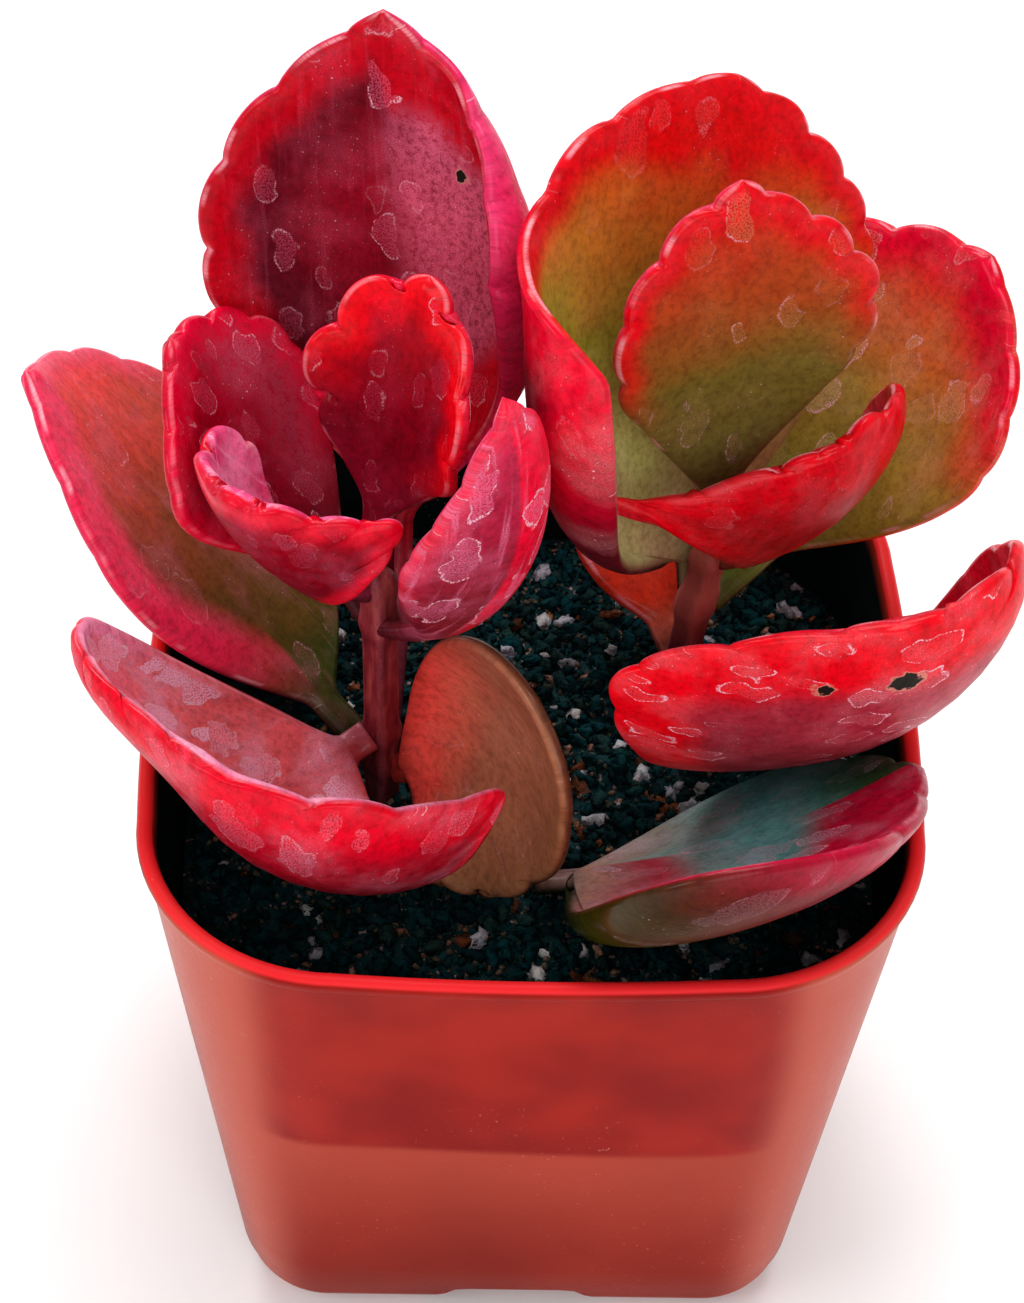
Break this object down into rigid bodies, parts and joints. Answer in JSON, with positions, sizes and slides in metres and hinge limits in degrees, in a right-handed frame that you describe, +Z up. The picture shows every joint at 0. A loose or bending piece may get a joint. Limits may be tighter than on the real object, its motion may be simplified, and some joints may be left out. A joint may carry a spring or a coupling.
{
  "type": "potted kalanchoe longiflora",
  "caption": "Young succulent plants with round lobed red and green leaves, in a square tapered nursery pot filled with potting mix.",
  "frame": {"origin": "centre of the pot's foot, on the flat underside that it stands on", "axes": "+Z up, -Y towards the pot's front side that faces the viewer, +X to the viewer's right"},
  "size_m": [0.0722, 0.0596, 0.0963],
  "materials": {
    "pot": "thin moulded terracotta red plastic, glossy, with a brighter rim",
    "soil": "damp dark potting mix with perlite, bark and tan grains",
    "stem": "smooth four angled stem, purple brown with a pink bloom on its ridges",
    "leaf_left_tall": "waxy succulent leaf, wine red centre with a bright red lobed edge and a pale powdery bloom",
    "leaf_left_outer": "waxy succulent leaf, orange brown fading to green brown with a thick red edge",
    "leaf_left_side": "waxy succulent leaf, wine red with a red edge and pale scabby rings",
    "leaf_left_heart": "waxy succulent leaf, wine red with a red deeply lobed edge",
    "leaf_left_scoop": "waxy succulent leaf, red with a pink near edge and pale stains",
    "leaf_left_inner": "waxy succulent leaf, red outside with lavender streaks",
    "leaf_left_orange": "old waxy leaf, orange brown to olive green with a red edge",
    "leaf_left_small": "small waxy leaf, red with a pale pink inside",
    "leaf_right_tall": "waxy succulent leaf, yellow green centre, red edge and folded red side",
    "leaf_right_outer": "waxy succulent leaf, olive centre with red edges and pale rings",
    "leaf_right_heart": "waxy succulent leaf, olive brown centre with a bright red edge",
    "leaf_right_small": "small waxy leaf, bright red edge curled up",
    "leaf_right_scoop": "waxy succulent leaf, bright red to crimson outside with pale stains",
    "leaf_low_front": "waxy succulent leaf, grey green inside with a crimson rolled edge",
    "leaf_right_orange": "small waxy leaf, orange red"
  },
  "bodies": {
    "root": {"pot": "pot", "soil": "soil", "stem_left": "stem", "stem_right": "stem", "leaf_left_tall": "leaf_left_tall", "leaf_left_outer": "leaf_left_outer", "leaf_left_side": "leaf_left_side", "leaf_left_heart": "leaf_left_heart", "leaf_left_scoop": "leaf_left_scoop", "leaf_left_inner": "leaf_left_inner", "leaf_left_orange": "leaf_left_orange", "leaf_left_small": "leaf_left_small", "leaf_right_tall": "leaf_right_tall", "leaf_right_outer": "leaf_right_outer", "leaf_right_heart": "leaf_right_heart", "leaf_right_small": "leaf_right_small", "leaf_right_scoop": "leaf_right_scoop", "leaf_low_front": "leaf_low_front", "leaf_right_orange": "leaf_right_orange"}
  },
  "joints": []
}
